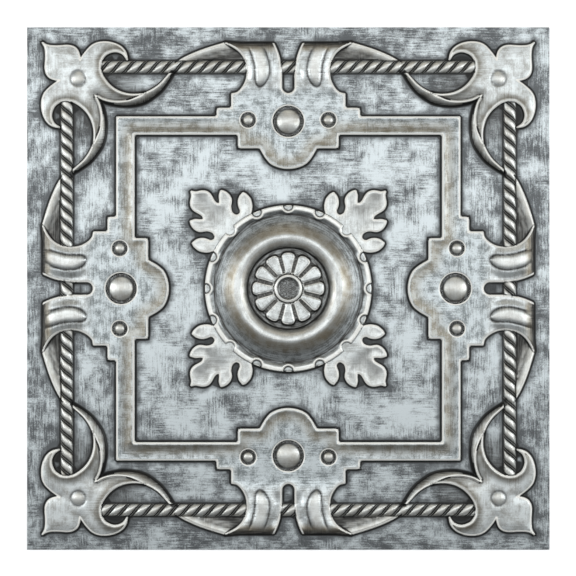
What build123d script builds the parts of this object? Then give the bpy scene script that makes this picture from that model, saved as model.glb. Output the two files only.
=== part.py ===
"""Faux tin ceiling tile: one thin plastic sheet, vacuum formed with strapwork relief.

The tile lies face up. +Z leaves the decorated face, z = 0 is the flat back, and the
origin is the middle of the back. The ornament repeats on all four sides, so each form is
drawn once, beside the +Y edge or in the (+X, +Y) corner, and turned into place.
Raised forms are hollow behind: plain pockets leave one sheet thickness under the face.
"""

import os
from math import radians, tan

from build123d import *

# Sheet
tile_size = 595.0
sheet = 1.0
margin = 15.5
draft = 15.0
sides = 4

# Square strap and the cartouche in the middle of each side
strap_height = 7.0
strap_width = 23.8
strap_setback = 83.7
slot_width = 12.4
slot_setback = 58.6
step_setback = 74.7
step_reach = 82.5
shoulder_reach = 65.9
shoulder_setback = 58.9
drop_step_reach = 58.6
drop_step_setback = 122.6
lobe_reach = 33.6
lobe_setback = 146.9

# Ribbons that leave the cartouche, pass over the rope and curl under at the margin
ribbon_height = 10.0
ribbon_root = 64.0
ribbon_waist = 48.5
curl_radius = 9.0
fold_reach = 72.5
tail_height = 4.0

# Bosses on the cartouche and on the corner lily
boss_setback = 91.8
boss_rim = 18.4
boss_radius = 13.5
boss_rise = 2.7
stud_setback = 90.2
stud_spacing = 45.7
stud_radius = 5.8
stud_rise = 1.2
groove_floor = 3.0
lily_boss_setback = 43.0
lily_boss_radius = 7.8
lily_boss_rise = 1.6

# Rope along each side
rope_setback = 29.0
rope_radius = 6.4
rope_side = 2.6
rope_crown = 2.8
rope_end_setback = 70.0

# Corner lily
lily_height = 7.5
lily_tail_height = 5.0

# Medallion in the middle
ring_radius = 97.2
rim_height = 6.0
cove_radius = 82.0
slope_radius = 70.0
slope_height = 10.2
crest_width = 6.0
brow_radius = 50.0
brow_height = 11.3
crest_radius = 56.0
crest_height = 13.0
well_radius = 46.0
well_floor = 3.5
notch_count = 16
notch_width = 13.5
notch_depth = 9.0
notch_floor = 3.6
petal_count = 12
petal_reach = 41.0
petal_root = 14.0
petal_width = 15.5
petal_end = 3.5
petal_rise = 2.0
eye_radius = 16.5
eye_rise = 3.6
dish_radius = 12.6
dish_depth = 1.6

# Oak leaves between the medallion and the corners of the strap
leaf_height = 4.5

reach = tile_size / 2 - margin
strap_outer = reach - strap_setback
strap_inner = strap_outer - strap_width
lobe_depth = lobe_setback - drop_step_setback


def from_edge(x, setback):
    """A point beside the +Y edge, set back from the ornament's limit there."""
    return (x, reach - setback)


def from_corner(across, setback):
    """A point in the (+X, +Y) corner, set back from the ornament's two limits there."""
    return (reach - across, reach - setback)


def arcs(points):
    """A chain of arcs: every second point is an end, and the ones between lie on the arcs."""
    for start, middle, end in zip(points[0::2], points[1::2], points[2::2]):
        ThreePointArc(start, middle, end)


def four_sides(shape):
    """The copies of a shape round the middle of the tile."""
    return [shape.rotate(Axis.Z, 360 / sides * k) for k in range(sides)]


def pad(plan, height):
    """A raised pad on the plan."""
    with BuildPart() as form:
        with BuildSketch():
            add(plan)
        extrude(amount=height)
    return form.part


def pocket(*corners, height):
    """The straight-walled pocket behind a form of that height, round the corners given."""
    with BuildPart() as form:
        with BuildSketch():
            with BuildLine():
                Polyline(*corners, close=True)
            make_face()
        extrude(amount=height - sheet)
    return form.part


def paired(form, about):
    """A form and its mirror image."""
    with BuildPart() as pair:
        add(form)
        mirror(about=about)
    return pair.part


# Plans of the forms

diagonal = Plane((0, 0, 0), x_dir=(0, 0, 1), z_dir=(1, -1, 0))

# One side of the cartouche without its ribbons, over the strap's bar
with BuildSketch() as cartouche_plan:
    with BuildLine():
        Polyline(
            from_edge(0, ribbon_root - curl_radius),
            from_edge(-ribbon_waist, ribbon_root - curl_radius),
            from_edge(-shoulder_reach, shoulder_setback),
            from_edge(-shoulder_reach, step_setback),
            from_edge(-step_reach, step_setback),
            from_edge(-step_reach, strap_setback + strap_width / 2),
            from_edge(-drop_step_reach, strap_setback + strap_width / 2),
            from_edge(-drop_step_reach, drop_step_setback),
            from_edge(-lobe_reach, drop_step_setback),
        )
        arcs(
            [
                from_edge(-lobe_reach, drop_step_setback),
                from_edge(-0.8 * lobe_reach, drop_step_setback + 0.47 * lobe_depth),
                from_edge(-0.5 * lobe_reach, drop_step_setback + 0.86 * lobe_depth),
                from_edge(-0.26 * lobe_reach, drop_step_setback + 0.965 * lobe_depth),
                from_edge(0, lobe_setback),
            ]
        )
        mirror(about=Plane.YZ)
    make_face()

# One ribbon, from the cartouche to the fold at the margin
with BuildSketch() as ribbon_plan:
    with BuildLine():
        Polyline(
            from_edge(ribbon_waist, ribbon_root),
            from_edge(shoulder_reach, shoulder_setback),
        )
        arcs(
            [
                from_edge(shoulder_reach, shoulder_setback),
                from_edge(53.0, 50.5),
                from_edge(ribbon_waist, 34.0),
                from_edge(56.2, 12.0),
                from_edge(fold_reach, 0),
            ]
        )
        Line(from_edge(fold_reach, 0), from_edge(16.5, 0))
        arcs([from_edge(16.5, 0), from_edge(8.4, 19.5), from_edge(slot_width / 2, 38.0)])
        Polyline(
            from_edge(slot_width / 2, 38.0),
            from_edge(slot_width / 2, ribbon_root),
            from_edge(ribbon_waist, ribbon_root),
        )
    make_face()

# The end of the ribbon, behind the fold, that dips under the rope
with BuildSketch() as tail_plan:
    with BuildLine():
        Polyline(
            from_edge(70.0, 1.0),
            from_edge(ribbon_waist, rope_setback - rope_radius),
            from_edge(ribbon_waist, rope_setback),
            from_edge(110.0, rope_setback),
            from_edge(121.5, rope_setback - 7.0),
        )
        arcs([from_edge(121.5, rope_setback - 7.0), from_edge(97.0, 9.0), from_edge(70.0, 1.0)])
    make_face()

# The petal of the corner lily
with BuildSketch() as petal_plan:
    with BuildLine():
        Polyline(from_corner(0, 0), from_corner(19.0, 4.3), from_corner(32.5, 3.8))
        ThreePointArc(from_corner(32.5, 3.8), from_corner(41.8, 7.5), from_corner(46.2, 15.5))
        Line(from_corner(46.2, 15.5), from_corner(54.0, 54.0))
        mirror(about=diagonal)
    make_face()

# The scroll at one side of the lily, round its open eye
with BuildSketch() as scroll_plan:
    with BuildLine():
        arcs(
            [
                from_corner(46.2, 15.5),
                from_corner(56.0, 4.6),
                from_corner(74.4, -0.4),
                from_corner(92.6, 6.0),
                from_corner(101.0, 22.0),
            ]
        )
        Line(from_corner(101.0, 22.0), from_corner(94.6, 23.0))
        arcs(
            [
                from_corner(94.6, 23.0),
                from_corner(75.0, 18.4),
                from_corner(70.4, 29.1),
                from_corner(85.6, 53.4),
                from_corner(117.0, 58.5),
            ]
        )
        Line(from_corner(117.0, 58.5), from_corner(119.0, 65.0))
        ThreePointArc(from_corner(119.0, 65.0), from_corner(92.0, 69.3), from_corner(61.5, 61.5))
        Polyline(
            from_corner(61.5, 61.5),
            from_corner(50.0, 50.0),
            from_corner(38.0, 22.0),
            from_corner(46.2, 15.5),
        )
    make_face()

# The ribbon end below the scroll, from the lily to the rope
with BuildSketch() as lily_tail_plan:
    with BuildLine():
        Line(from_corner(66.0, 58.0), from_corner(113.0, 61.5))
        ThreePointArc(
            from_corner(113.0, 61.5), from_corner(136.0, 48.0), from_corner(149.0, rope_setback)
        )
        Line(from_corner(149.0, rope_setback), from_corner(157.0, rope_setback))
        arcs(
            [
                from_corner(157.0, rope_setback),
                from_corner(132.0, 64.5),
                from_corner(97.0, 75.8),
                from_corner(78.0, 73.0),
                from_corner(61.5, 63.0),
            ]
        )
        Line(from_corner(61.5, 63.0), from_corner(66.0, 58.0))
    make_face()

# The oak leaf, drawn in its corner of the medallion
with BuildSketch() as leaf_plan:
    with BuildLine():
        Polyline((112.0, 112.0), (105.0, 110.6), (98.0, 112.0))
        ThreePointArc((98.0, 112.0), (90.2, 110.0), (85.4, 103.7))
        Polyline((85.4, 103.7), (79.4, 98.0), (79.7, 105.0), (77.3, 113.0))
        ThreePointArc((77.3, 113.0), (68.2, 108.5), (63.9, 100.7))
        Polyline((63.9, 100.7), (64.4, 93.0), (63.2, 88.0))
        ThreePointArc((63.2, 88.0), (59.3, 84.6), (55.4, 88.3))
        Polyline((55.4, 88.3), (57.6, 96.0), (56.3, 103.0), (52.0, 110.8))
        ThreePointArc((52.0, 110.8), (43.4, 103.7), (40.5, 93.0))
        Polyline((40.5, 93.0), (41.5, 78.0), (48.0, 48.0))
        mirror(about=diagonal)
    make_face()


lean = tan(radians(draft))

# The section under which the ribbons stay: over the rope, then curling under at the margin
with BuildPart() as ribbon_envelope:
    with BuildSketch(Plane.YZ):
        with BuildLine():
            Polyline(
                (reach, 0), (reach - ribbon_root, 0), (reach - ribbon_root, strap_height)
            )
            Line(
                (reach - ribbon_root, strap_height),
                (reach - rope_setback - rope_radius, ribbon_height),
            )
            Line(
                (reach - rope_setback - rope_radius, ribbon_height),
                (reach - curl_radius, ribbon_height),
            )
            RadiusArc(
                (reach - curl_radius, ribbon_height),
                (reach, ribbon_height - curl_radius),
                curl_radius,
            )
            Line((reach, ribbon_height - curl_radius), (reach, 0))
        make_face()
    extrude(amount=step_reach, both=True)

# The two ribbons of one side
with BuildPart() as ribbons:
    add(pad(ribbon_plan.sketch, ribbon_height))
    add(ribbon_envelope.part, mode=Mode.INTERSECT)
    mirror(about=Plane.YZ)

# The corner lily with both its scrolls
with BuildPart() as lily:
    add(pad(scroll_plan.sketch, lily_height))
    add(pad(lily_tail_plan.sketch, lily_tail_height))
    mirror(about=diagonal)
    add(pad(petal_plan.sketch, lily_height))

# The square strap that links the four cartouches
with BuildPart() as strap_bars:
    with BuildSketch():
        Rectangle(2 * strap_outer, 2 * strap_outer)
    extrude(amount=strap_height, taper=draft)
    with BuildSketch(Plane.XY.offset(strap_height)):
        opening = 2 * (strap_inner + strap_height * lean)
        Rectangle(opening, opening)
    extrude(amount=-strap_height, taper=draft, mode=Mode.SUBTRACT)


def cap(radius, rise):
    """A shallow dome on the XY plane, of that foot radius and rise."""
    ball = (radius**2 + rise**2) / (2 * rise)
    with BuildPart() as form:
        with Locations((0, 0, rise - ball)):
            Sphere(ball)
        split(bisect_by=Plane.XY, keep=Keep.TOP)
    return form.part


# The sunk ring round the middle boss, cut down from the cartouche's face
with BuildPart() as boss_groove:
    with Locations((*from_edge(0, boss_setback), groove_floor)):
        Cylinder(boss_rim, crest_height, align=(Align.CENTER, Align.CENTER, Align.MIN))

# The middle boss and the two studs of one cartouche
with BuildPart() as bosses:
    with Locations((*from_edge(0, boss_setback), 0)):
        Cylinder(boss_radius, strap_height, align=(Align.CENTER, Align.CENTER, Align.MIN))
    add(Pos(*from_edge(0, boss_setback), strap_height) * cap(boss_radius, boss_rise))
    for side in (-1, 1):
        place = Pos(*from_edge(side * stud_spacing, stud_setback), strap_height)
        add(place * cap(stud_radius, stud_rise))

# The slot between the ribbons
with BuildPart() as slot:
    with BuildSketch(Plane.XY.offset(sheet)):
        with Locations(from_edge(0, slot_setback - slot_width / 2)):
            Circle(slot_width / 2)
        with Locations(from_edge(0, slot_setback - slot_width / 2)):
            Rectangle(slot_width, slot_width, align=(Align.CENTER, Align.MIN))
    extrude(amount=crest_height)

# The turned ring of the medallion and its well
with BuildPart() as medallion:
    with BuildSketch(Plane.XZ):
        with BuildLine():
            Polyline(
                (well_radius, well_floor),
                (0, well_floor),
                (0, 0),
                (ring_radius, 0),
                (ring_radius - rim_height * lean, rim_height),
                (cove_radius, rim_height),
                (slope_radius, slope_height),
            )
            Polyline(
                (slope_radius, slope_height),
                (crest_radius + crest_width / 2, crest_height),
                (crest_radius - crest_width / 2, crest_height),
                (brow_radius, brow_height),
                (well_radius, well_floor),
            )
        make_face()
    revolve(axis=Axis.Z)

with BuildPart() as notches:
    with BuildSketch(Plane.XY.offset(notch_floor)):
        with PolarLocations(ring_radius - notch_depth, notch_count):
            Trapezoid(
                notch_width, notch_depth * 2, 75, rotation=90, align=(Align.CENTER, Align.MAX)
            )
    extrude(amount=crest_height)

with BuildPart() as petals:
    with BuildSketch(Plane.XY.offset(well_floor)):
        with PolarLocations(0, petal_count):
            with BuildSketch(mode=Mode.PRIVATE) as petal:
                with BuildLine():
                    Polyline(
                        (petal_reach - petal_end, petal_width / 2),
                        (petal_root, petal_width / 6),
                        (petal_root, -petal_width / 6),
                        (petal_reach - petal_end, -petal_width / 2),
                    )
                    ThreePointArc(
                        (petal_reach - petal_end, -petal_width / 2),
                        (petal_reach, 0),
                        (petal_reach - petal_end, petal_width / 2),
                    )
                make_face()
            add(petal.sketch)
    extrude(amount=petal_rise)

with BuildPart() as eye:
    with BuildSketch(Plane.XY.offset(well_floor - sheet)):
        Circle(eye_radius)
    extrude(amount=eye_rise + sheet)
    with BuildSketch(Plane.XY.offset(well_floor + eye_rise - dish_depth)):
        Circle(dish_radius)
    extrude(amount=dish_depth, mode=Mode.SUBTRACT)


# The half-round of one side's rope, end to end, under the ribbons
rope_half = reach - rope_end_setback
with BuildPart() as rope:
    with BuildSketch(Plane.YZ.offset(-rope_half)):
        with Locations((reach - rope_setback, 0)):
            with BuildLine():
                Polyline(
                    (-rope_radius, 0),
                    (rope_radius, 0),
                    (rope_radius, rope_side),
                    (rope_crown, rope_radius),
                    (-rope_crown, rope_radius),
                    (-rope_radius, rope_side),
                    close=True,
                )
            make_face()
    extrude(amount=2 * rope_half)

# The pockets behind the forms, one side and one corner at a time
inset = sheet + strap_height * lean
boss_island = 2 * (boss_rim + sheet)

with BuildPart() as strap_pocket:
    with BuildSketch():
        Rectangle(2 * (strap_outer - inset), 2 * (strap_outer - inset))
        Rectangle(2 * (strap_inner + inset), 2 * (strap_inner + inset), mode=Mode.SUBTRACT)
    extrude(amount=strap_height - sheet)
    with Locations((0, 0, groove_floor - sheet)):
        with PolarLocations(reach - boss_setback, sides):
            Box(
                boss_island,
                boss_island,
                crest_height,
                align=(Align.CENTER, Align.CENTER, Align.MIN),
                mode=Mode.SUBTRACT,
            )

with BuildPart() as side_pockets:
    add(
        pocket(
            from_edge(-step_reach + inset, step_setback + inset),
            from_edge(-step_reach + inset, strap_setback + strap_width / 2),
            from_edge(-drop_step_reach + inset, strap_setback + strap_width / 2),
            from_edge(-drop_step_reach + inset, drop_step_setback - inset),
            from_edge(drop_step_reach - inset, drop_step_setback - inset),
            from_edge(drop_step_reach - inset, strap_setback + strap_width / 2),
            from_edge(step_reach - inset, strap_setback + strap_width / 2),
            from_edge(step_reach - inset, step_setback + inset),
            height=strap_height,
        )
    )
    for side in (-1, 1):
        add(
            pocket(
                from_edge(side * (slot_width / 2 + inset), step_setback + inset),
                from_edge(side * (slot_width / 2 + inset), 38.0),
                from_edge(side * (16.5 + inset), curl_radius),
                from_edge(side * (ribbon_waist + 4.0 - inset), curl_radius),
                from_edge(side * (ribbon_waist - inset), 34.0),
                from_edge(side * (ribbon_waist + 4.5 - inset), 50.5),
                from_edge(side * (shoulder_reach - inset), shoulder_setback + inset),
                from_edge(side * (shoulder_reach - inset), step_setback + inset),
                height=strap_height,
            )
        )
        add(
            pocket(
                from_edge(side * (10.0 + inset), rope_setback + rope_radius),
                from_edge(side * (16.5 + inset), curl_radius),
                from_edge(side * (ribbon_waist + 4.0 - inset), curl_radius),
                from_edge(side * (ribbon_waist - inset), rope_setback + rope_radius),
                height=ribbon_height,
            )
        )
    with BuildSketch():
        with Locations(from_edge(0, rope_setback)):
            Rectangle(2 * (rope_half - inset), rope_radius)
    extrude(amount=rope_radius - 2 * sheet)
    with Locations((*from_edge(0, boss_setback), groove_floor - sheet)):
        Box(
            boss_island,
            boss_island,
            crest_height,
            align=(Align.CENTER, Align.CENTER, Align.MIN),
            mode=Mode.SUBTRACT,
        )

with BuildPart() as corner_pockets:
    add(
        pocket(
            from_corner(4.0, 4.0),
            from_corner(30.0, 8.0),
            from_corner(44.0, 20.0),
            from_corner(58.0, 10.0),
            from_corner(80.0, 5.0),
            from_corner(66.0, 22.0),
            from_corner(70.0, 44.0),
            from_corner(92.0, 60.0),
            from_corner(70.0, 62.0),
            from_corner(56.0, 56.0),
            height=lily_height,
        )
    )
    mirror(about=diagonal)

with BuildPart() as leaf_pockets:
    add(
        pocket(
            (108.0, 108.0),
            (96.0, 108.0),
            (82.0, 94.0),
            (74.0, 106.0),
            (68.0, 102.0),
            (68.0, 92.0),
            (60.0, 80.0),
            (56.0, 56.0),
            height=notch_floor,
        )
    )
    mirror(about=diagonal)

with BuildPart() as medallion_pocket:
    with BuildSketch(Plane.XZ):
        with BuildLine():
            Polyline(
                (0, 0),
                (cove_radius - sheet, 0),
                (cove_radius - sheet, rim_height - 2 * sheet),
                (crest_radius, crest_height - 2 * sheet),
                (well_radius + 2 * sheet, well_floor - sheet),
                (0, well_floor - sheet),
                close=True,
            )
        make_face()
    revolve(axis=Axis.Z)

# The whole tile
with BuildPart() as ceiling_tile:
    with BuildSketch():
        Rectangle(tile_size, tile_size)
    extrude(amount=sheet)
    add(strap_bars.part)
    add(four_sides(pad(cartouche_plan.sketch, strap_height)))
    add(four_sides(rope.part))
    add(four_sides(paired(pad(tail_plan.sketch, tail_height), Plane.YZ)))
    add(four_sides(ribbons.part))
    add(four_sides(slot.part), mode=Mode.SUBTRACT)
    add(four_sides(boss_groove.part), mode=Mode.SUBTRACT)
    add(four_sides(bosses.part))
    add(four_sides(lily.part))
    lily_boss = cap(lily_boss_radius, lily_boss_rise)
    add(four_sides(Pos(*from_corner(lily_boss_setback, lily_boss_setback), lily_height) * lily_boss))
    add(four_sides(pad(leaf_plan.sketch, leaf_height)))
    add(medallion.part)
    add(notches.part, mode=Mode.SUBTRACT)
    add(petals.part)
    add(strap_pocket.part, mode=Mode.SUBTRACT)
    add(four_sides(side_pockets.part), mode=Mode.SUBTRACT)
    add(four_sides(corner_pockets.part), mode=Mode.SUBTRACT)
    add(four_sides(leaf_pockets.part), mode=Mode.SUBTRACT)
    add(medallion_pocket.part, mode=Mode.SUBTRACT)
    add(eye.part)

ceiling_tile.part.label = "ceiling_tile"
os.makedirs("parts", exist_ok=True)
export_step(ceiling_tile.part, "parts/ceiling_tile.step")
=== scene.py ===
# %% [markdown]
# # A stamped-look ceiling tile in charcoal and silver
#
# The real tile is one thin plastic sheet. It is heated, drawn down over a mould so that it takes
# on a raised ornament, painted charcoal, and then dry-brushed with silver so that it looks like
# old stamped tin. This lesson builds that sheet in three steps: the shape, the paint, the light.
#
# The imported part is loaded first. It gives the true size, and everything below stays inside it.

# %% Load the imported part
import math

import bpy
import numpy as np
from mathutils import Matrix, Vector, geometry


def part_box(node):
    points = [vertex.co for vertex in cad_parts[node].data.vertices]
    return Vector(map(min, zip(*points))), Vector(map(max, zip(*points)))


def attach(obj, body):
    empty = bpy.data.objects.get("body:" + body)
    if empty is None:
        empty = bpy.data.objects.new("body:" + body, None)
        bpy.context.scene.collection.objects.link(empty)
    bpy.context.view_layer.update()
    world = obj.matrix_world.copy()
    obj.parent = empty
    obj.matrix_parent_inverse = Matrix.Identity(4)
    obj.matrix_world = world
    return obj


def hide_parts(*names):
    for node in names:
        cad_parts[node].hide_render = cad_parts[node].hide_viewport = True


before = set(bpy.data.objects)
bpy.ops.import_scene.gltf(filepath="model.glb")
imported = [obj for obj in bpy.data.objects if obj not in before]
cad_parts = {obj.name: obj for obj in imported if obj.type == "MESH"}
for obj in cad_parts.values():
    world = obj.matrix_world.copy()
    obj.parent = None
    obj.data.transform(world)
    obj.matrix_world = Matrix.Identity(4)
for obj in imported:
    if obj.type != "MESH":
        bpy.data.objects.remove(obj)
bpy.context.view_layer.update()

MM = 0.001
tile_low, tile_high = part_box("ceiling_tile")
half_tile = (tile_high.x - tile_low.x) / 2 / MM
relief_top = tile_high.z / MM
print(f"tile {2 * half_tile:.1f} mm square, {relief_top:.1f} mm at its highest")

# %% [markdown]
# ## The camera
#
# The tile lies face up and is looked at from straight above, as a copying camera looks at a
# drawing. A long lens keeps the walls of the ornament from leaning. Its height follows from the
# width that the tile takes up in the picture, so the picture fits without any shift.

# %% A camera straight above
PICTURE_PIXELS = 576
TILE_PIXELS = 522.2
TILE_CENTRE_PIXEL = (288.3, 288.5)
LENS = 150.0
SENSOR = 36.0

pixel = 2 * half_tile / TILE_PIXELS
camera_data = bpy.data.cameras.new("copying_camera")
camera_data.lens = LENS
camera_data.sensor_width = SENSOR
camera = bpy.data.objects.new("copying_camera", camera_data)
camera_height = PICTURE_PIXELS * pixel * LENS / SENSOR
camera.location = (
    (PICTURE_PIXELS / 2 - TILE_CENTRE_PIXEL[0]) * pixel * MM,
    (TILE_CENTRE_PIXEL[1] - PICTURE_PIXELS / 2) * pixel * MM,
    camera_height * MM,
)
bpy.context.collection.objects.link(camera)
bpy.context.scene.camera = camera
print(f"camera {camera_height:.0f} mm up, {pixel:.3f} mm to a pixel")

# %% [markdown]
# ## Lines to draw with
#
# The ornament is drawn once, in an eighth of the tile, and turned and mirrored from there. Its
# edges are short lists of points with a smooth run through them, straight runs, and arcs. Closer
# points are worked out along each run, because later on every one of them becomes a corner of the
# mesh: an edge that is followed by corners stays crisp with few triangles.

# %% Runs of edge
CURVE_STEP = 1.25
STRAIGHT_STEP = 3.2


def through(points, step=CURVE_STEP):
    """A smooth run through a few points."""
    spots = np.array(points, float)
    padded = np.vstack([2 * spots[0] - spots[1], spots, 2 * spots[-1] - spots[-2]])
    pieces = []
    for a, b, c, d in zip(padded[:-3], padded[1:-2], padded[2:-1], padded[3:]):
        count = max(2, round(np.linalg.norm(c - b) / step))
        t = np.linspace(0, 1, count, endpoint=False)[:, None]
        bend = (2 * a - 5 * b + 4 * c - d) * t**2 + (3 * b - a - 3 * c + d) * t**3
        pieces.append(b + 0.5 * ((c - a) * t + bend))
    return np.vstack(pieces + [spots[-1:]])


def straight(points, step=STRAIGHT_STEP):
    """Straight stretches from point to point."""
    pieces = []
    for a, b in zip(points[:-1], points[1:]):
        count = max(1, round(math.dist(a, b) / step))
        pieces.append(np.linspace(a, b, count, endpoint=False))
    return np.vstack(pieces + [np.array(points[-1:], float)])


def arc(centre, radius, start, end, step=CURVE_STEP):
    """Part of a circle, between two angles in degrees."""
    count = max(2, round(abs(math.radians(end - start)) * radius / step))
    angle = np.radians(np.linspace(start, end, count + 1))
    return np.column_stack([centre[0] + radius * np.cos(angle), centre[1] + radius * np.sin(angle)])


# %% [markdown]
# An outline knows how deep any point lies inside it. That one number is enough to raise a wall,
# to round a shoulder, and later to tell the paint how far it is from an edge.

# %% How deep a point lies inside an outline
REACH = 16.0


def span_distance(x, y, runs):
    """Distance from each point to the nearest stretch of the runs."""
    start = np.vstack([run[:-1] for run in runs])
    along = np.vstack([run[1:] for run in runs]) - start
    length = (along**2).sum(1)
    found = np.empty(len(x))
    for first in range(0, len(x), 8000):
        part = slice(first, first + 8000)
        dx = x[part, None] - start[:, 0]
        dy = y[part, None] - start[:, 1]
        t = np.clip((dx * along[:, 0] + dy * along[:, 1]) / length, 0, 1)
        gap = (dx - t * along[:, 0]) ** 2 + (dy - t * along[:, 1]) ** 2
        found[part] = np.sqrt(gap.min(1))
    return found


class Outline:
    """A raised form's top edge: runs of edge in order, and the area that they close in."""

    def __init__(self, *runs, closing=()):
        self.runs = runs
        self.loop = np.vstack([*runs, np.array(closing, float).reshape(-1, 2)])
        self.low = self.loop.min(0) - REACH
        self.high = self.loop.max(0) + REACH

    def holds(self, x, y):
        """True for each point that lies inside."""
        odd = np.zeros(len(x), bool)
        for (ax, ay), (bx, by) in zip(self.loop, np.roll(self.loop, -1, 0)):
            if ay != by:
                crossing = (ay > y) != (by > y)
                odd ^= crossing & (x < ax + (y - ay) * (bx - ax) / (by - ay))
        return odd

    def depth(self, x, y):
        """Distance in from the edge, and out from it with a minus sign."""
        found = np.full(len(x), -REACH)
        close = (x > self.low[0]) & (x < self.high[0]) & (y > self.low[1]) & (y < self.high[1])
        distance = np.minimum(span_distance(x[close], y[close], self.runs), REACH)
        found[close] = np.where(self.holds(x[close], y[close]), distance, -distance)
        return found


# %% [markdown]
# ## The relief
#
# A vacuum-formed sheet is a height above the floor at every point, so the relief is kept as one
# table of points: their height, what a painter's brush would find there, and the painted light
# and shade. `lip` is the distance in from a top edge. `hollow` marks dark wash and painted shade
# in grooves, recesses and turned-away slopes, and above one their darkest lines. `crest` marks
# what stands proud, where dry-brushed silver and a painted highlight go. `smooth` marks the rounded
# forms that were wiped rather than brushed, and `warm` marks a painted brown shade on slopes and
# folds. Each form is laid over what is already there, and the higher surface wins, just as the
# sheet drapes over the highest part of its mould.

# %% A relief that forms are laid on
SHEET = 1.0
WALL = 2.2
ROUNDING = 1.8
SHOULDER = 0.87


def in_top_quarter(x, y):
    """Turns points by quarter turns until they lie in the tile's top quarter."""
    right = x > np.abs(y)
    left = -x > np.abs(y)
    below = ~right & ~left & (y < 0)
    along = np.select([right, left, below], [-y, y, -x], x)
    up = np.select([right, left, below], [x, -x, -y], y)
    return along, up


def ease(value, low, high):
    """Rises smoothly from 0 at low to 1 at high."""
    t = np.clip((value - low) / (high - low), 0, 1)
    return t * t * (3 - 2 * t)


def shoulder(depth, wall=WALL, rounding=ROUNDING):
    """The share of its height that a form reaches, from its foot up over its rounded edge."""
    climbed = SHOULDER * np.clip(1 + depth / wall, 0, 1)
    rounded = 1 - (1 - np.clip(depth / rounding, 0, 1)) ** 2
    return climbed + (1 - SHOULDER) * rounded


class Relief:
    """The tile's face over a set of points."""

    PAINT = ("lip", "hollow", "crest", "smooth", "warm", "raised")

    def __init__(self, x, y):
        self.x = x
        self.y = y
        self.along, self.up = in_top_quarter(x, y)
        self.across = np.abs(self.along)
        self.radius = np.hypot(x, y)
        self.height = np.full(len(x), SHEET)
        self.lip = np.full(len(x), -REACH)
        self.hollow = np.zeros(len(x))
        self.crest = np.zeros(len(x))
        self.smooth = np.zeros(len(x))
        self.warm = np.zeros(len(x))
        self.raised = np.zeros(len(x))
        self.walls = []

    def lay(self, height, depth, top, lip, hollow=0.0, crest=0.0, smooth=0.0, warm=0.0, wall=WALL):
        """Lays a form over what is there."""
        wins = height > self.height + 1e-6
        self.height[wins] = height[wins]
        for name, value in zip(self.PAINT, (lip, hollow, crest, smooth, warm, 1.0)):
            getattr(self, name)[wins] = np.broadcast_to(value, wins.shape)[wins]
        self.walls.append((depth, wall, np.broadcast_to(top, wins.shape)))

    def foot(self):
        """Distance from the foot of the nearest wall that rises above the point."""
        nearest = np.full(len(self.x), REACH)
        for depth, wall, top in self.walls:
            rises = (depth < WALL - wall) & (top > self.height + 0.8)
            buried = (self.height - SHEET) / np.maximum(top - SHEET, 0.1)
            gap = -depth - wall * np.clip(1 - buried / SHOULDER, 0, 1)
            nearest = np.minimum(nearest, np.where(rises, np.maximum(gap, 0), REACH))
        return nearest


# %% [markdown]
# ## The strap and its cartouches
#
# A flat strap runs square round the middle of the tile, and widens into a cartouche at the
# middle of each side. Two ribbons leave the cartouche, pass over the rope and fold back. Strap,
# cartouche and ribbons are one surface, so they are one outline: drawing them apart would leave
# edges where the real tile has none.

# %% The strap's outline
STRAP_OUTER = 195.0
STRAP_INNER = 175.8
STRAP_TOP = 7.0
SLOT_RADIUS = 8.0
SLOT_END = 229.5
RIBBON_BEND = (85.0, 243.0)
RIBBON_BEND_RADIUS = 77.0
FOLD = 278.4

slot_side = straight([(SLOT_RADIUS, SLOT_END), (SLOT_RADIUS, RIBBON_BEND[1])])
fold_angle = 180 - math.degrees(math.asin((FOLD - RIBBON_BEND[1]) / RIBBON_BEND_RADIUS))
ribbon_inner = arc(RIBBON_BEND, RIBBON_BEND_RADIUS, 180, fold_angle)
ribbon_outer = through([
    (71.5, 279.8), (59.9, 273.2), (53.1, 267.3), (49.4, 261.0), (47.2, 252.9),
    (46.7, 244.4), (48.3, 235.9), (52.6, 227.9), (57.9, 222.9), (64.1, 221.3),
])
fold_edge = straight([tuple(ribbon_inner[-1]), (54.0, FOLD), (71.5, 279.8)])
steps = straight([
    (64.1, 221.3), (64.1, 204.8), (80.7, 204.8), (80.7, STRAP_OUTER), (STRAP_OUTER, STRAP_OUTER),
])
strap_inner_edge = straight([
    (STRAP_INNER, STRAP_INNER), (56.4, STRAP_INNER), (56.4, 160.4), (32.3, 160.4),
])
lobe_side = through([(32.3, 160.4), (30.2, 157.0), (25.9, 149.7), (20.6, 143.3), (16.0, 140.4)])
lobe_end = arc((0, 174.9), 38, -65.1, -90)
strap_outline = Outline(
    arc((0, SLOT_END), SLOT_RADIUS, -90, 0), slot_side, ribbon_inner, fold_edge,
    ribbon_outer, steps, strap_inner_edge, lobe_side, lobe_end,
)
print(f"strap outline: {len(strap_outline.loop)} points")

# %% [markdown]
# Each cartouche carries one large boss and two small studs, sunk in round grooves. A long drop
# swells down the middle of each ribbon.

# %% Bosses, studs and drops
BOSS = (0.0, 190.2)
BOSS_RIM = 18.4
BOSS_RADIUS = 14.2
BOSS_TOP = 8.8
STUD = (45.7, 191.8)
STUD_RIM = 9.5
STUD_RADIUS = 6.2
STUD_TOP = 7.5
BOSS_SIDE = 2.6
GROOVE_FLOOR = 2.4
DROP_RISE = 1.5

drop_outline = Outline(through([
    (30.4, 278.0), (24.6, 266.0), (21.4, 252.0), (22.3, 241.0), (26.3, 233.2), (32.5, 229.2),
    (36.9, 233.4), (37.8, 241.0), (38.2, 252.0), (41.6, 266.0), (46.0, 278.0),
]))


def cap(distance, radius, rise):
    """Height of a shallow dome above its rim."""
    ball = (radius**2 + rise**2) / (2 * rise)
    return np.sqrt(np.maximum(ball**2 - np.minimum(distance, radius) ** 2, 0)) - (ball - rise)


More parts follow.
